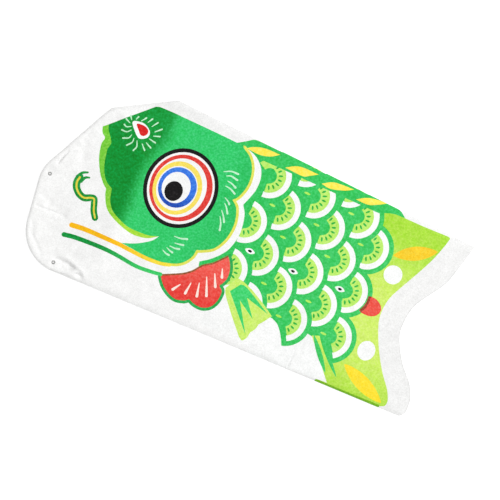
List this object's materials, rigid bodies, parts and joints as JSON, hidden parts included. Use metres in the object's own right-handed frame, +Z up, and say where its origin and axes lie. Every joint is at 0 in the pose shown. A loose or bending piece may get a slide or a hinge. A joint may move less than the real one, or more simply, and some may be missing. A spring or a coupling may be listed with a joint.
{
  "type": "carp streamer",
  "caption": "Carp-shaped windsock lying flat: a printed satin fabric tube, open at mouth and tail, with a wire hoop in its mouth hem.",
  "frame": {"origin": "middle of the rectangle that the flat streamer fills, on the surface it lies on", "axes": "+X from the mouth towards the tail, +Y towards the fish's back, +Z up out of the front print"},
  "size_m": [0.4, 0.193, 0.0064],
  "materials": {
    "printed_satin": "thin polyester satin, ink-printed on one face",
    "white_cloth": "unprinted satin, soft sheen",
    "sewing_thread": "spun polyester thread",
    "eyelet_thread": "tightly wound grey binding thread",
    "hoop_wire": "drawn spring wire, dull galvanised",
    "joiner_metal": "crimped sleeve"
  },
  "bodies": {
    "head": {"front_panel_head": "printed_satin", "back_panel_head": "printed_satin", "dorsal_seam_head": "white_cloth", "belly_seam_head": "white_cloth", "dorsal_stitching_head": "sewing_thread", "belly_stitching_head": "sewing_thread", "mouth_hoop": "hoop_wire", "hoop_joiner": "joiner_metal", "mouth_hem": "white_cloth", "hem_stitching": "sewing_thread", "mouth_eyelet": "eyelet_thread", "side_eyelet": "eyelet_thread"},
    "fore_body": {"front_panel_fore_body": "printed_satin", "back_panel_fore_body": "printed_satin", "dorsal_seam_fore_body": "white_cloth", "belly_seam_fore_body": "white_cloth", "dorsal_stitching_fore_body": "sewing_thread", "belly_stitching_fore_body": "sewing_thread"},
    "rear_body": {"front_panel_rear_body": "printed_satin", "back_panel_rear_body": "printed_satin", "dorsal_seam_rear_body": "white_cloth", "belly_seam_rear_body": "white_cloth", "dorsal_stitching_rear_body": "sewing_thread", "belly_stitching_rear_body": "sewing_thread"},
    "tail": {"front_panel_tail": "printed_satin", "back_panel_tail": "printed_satin", "dorsal_seam_tail": "white_cloth", "belly_seam_tail": "white_cloth", "dorsal_stitching_tail": "sewing_thread", "belly_stitching_tail": "sewing_thread"}
  },
  "joints": [
    {"name": "head_fold", "type": "hinge", "parent": "head", "child": "fore_body", "pos_m": [-0.01, 0, 0.003], "axis": [0, -1, 0], "range_deg": [-40, 40]},
    {"name": "body_fold", "type": "hinge", "parent": "fore_body", "child": "rear_body", "pos_m": [0.055, 0, 0.003], "axis": [0, -1, 0], "range_deg": [-40, 40]},
    {"name": "tail_fold", "type": "hinge", "parent": "rear_body", "child": "tail", "pos_m": [0.12, 0, 0.003], "axis": [0, -1, 0], "range_deg": [-40, 40]}
  ]
}
